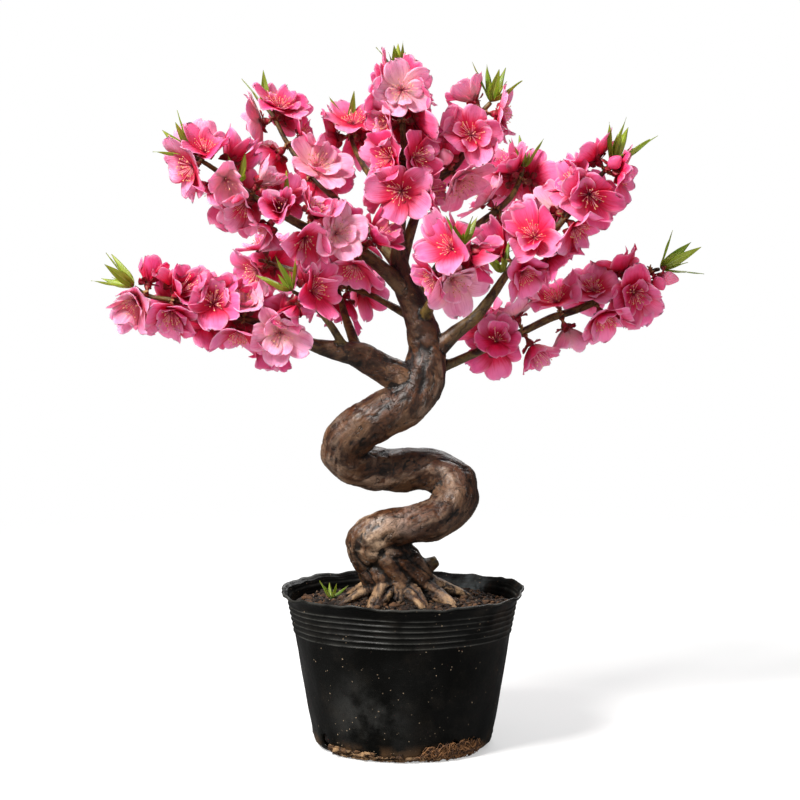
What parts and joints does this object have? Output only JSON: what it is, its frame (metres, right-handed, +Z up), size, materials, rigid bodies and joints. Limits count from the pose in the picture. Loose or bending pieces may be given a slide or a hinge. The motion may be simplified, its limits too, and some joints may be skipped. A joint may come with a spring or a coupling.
{
  "type": "bonsai tree",
  "caption": "Double-flowered peach bonsai with a spiral trunk, pink blooms in bunches and tufts of young leaves, in a soft black nursery pot of soil.",
  "frame": {"origin": "centre of the underside of the pot, on the surface it stands on", "axes": "+Z up, +X to the right and +Y away as the picture looks at it; the front of the tree faces -Y"},
  "size_m": [0.4365, 0.2341, 0.5117],
  "materials": {
    "pot": "thin black film-like plastic, dusty, with a soft sheen",
    "soil": "crumbly red-brown potting soil",
    "bark": "furrowed grey-brown bark",
    "petals": "silky pink petals",
    "leaves": "young, fresh green leaves"
  },
  "bodies": {
    "root": {"blooms_back_left_1": "petals", "blooms_back_left_2": "petals", "blooms_back_right_1": "petals", "blooms_back_right_2": "petals", "blooms_back_top_1": "petals", "blooms_front_1": "petals", "blooms_front_2": "petals", "blooms_high_left_1": "petals", "blooms_high_left_2": "petals", "blooms_high_left_3": "petals", "blooms_high_right_1": "petals", "blooms_high_right_2": "petals", "blooms_high_right_3": "petals", "blooms_low_left_1": "petals", "blooms_low_left_2": "petals", "blooms_low_left_3": "petals", "blooms_low_left_4": "petals", "blooms_low_left_5": "petals", "blooms_low_left_aft_1": "petals", "blooms_low_left_fore_1": "petals", "blooms_low_right_1": "petals", "blooms_low_right_2": "petals", "blooms_low_right_3": "petals", "blooms_low_right_4": "petals", "blooms_low_right_5": "petals", "blooms_low_right_6": "petals", "blooms_mid_left_1": "petals", "blooms_mid_left_2": "petals", "blooms_mid_left_3": "petals", "blooms_mid_left_4": "petals", "blooms_mid_left_5": "petals", "blooms_mid_left_6": "petals", "blooms_mid_left_7": "petals", "blooms_mid_right_1": "petals", "blooms_mid_right_2": "petals", "blooms_mid_right_3": "petals", "blooms_mid_right_4": "petals", "blooms_mid_right_5": "petals", "blooms_stem_1": "petals", "blooms_stem_2": "petals", "blooms_stem_3": "petals", "blooms_stem_4": "petals", "leaves_back_right_tip": "leaves", "leaves_back_top_tip": "leaves", "leaves_front_tip": "leaves", "leaves_high_left_tip": "leaves", "leaves_high_right_tip": "leaves", "leaves_low_left_fore_tip": "leaves", "leaves_low_left_tip": "leaves", "leaves_low_right_tip": "leaves", "leaves_mid_left_inner": "leaves", "leaves_mid_left_outer": "leaves", "leaves_mid_left_tip": "leaves", "leaves_mid_right_inner": "leaves", "leaves_mid_right_tip": "leaves", "leaves_stem_tip": "leaves", "pot": "pot", "soil": "soil", "trunk_and_limbs": "bark", "weed_seedling": "leaves"}
  },
  "joints": []
}
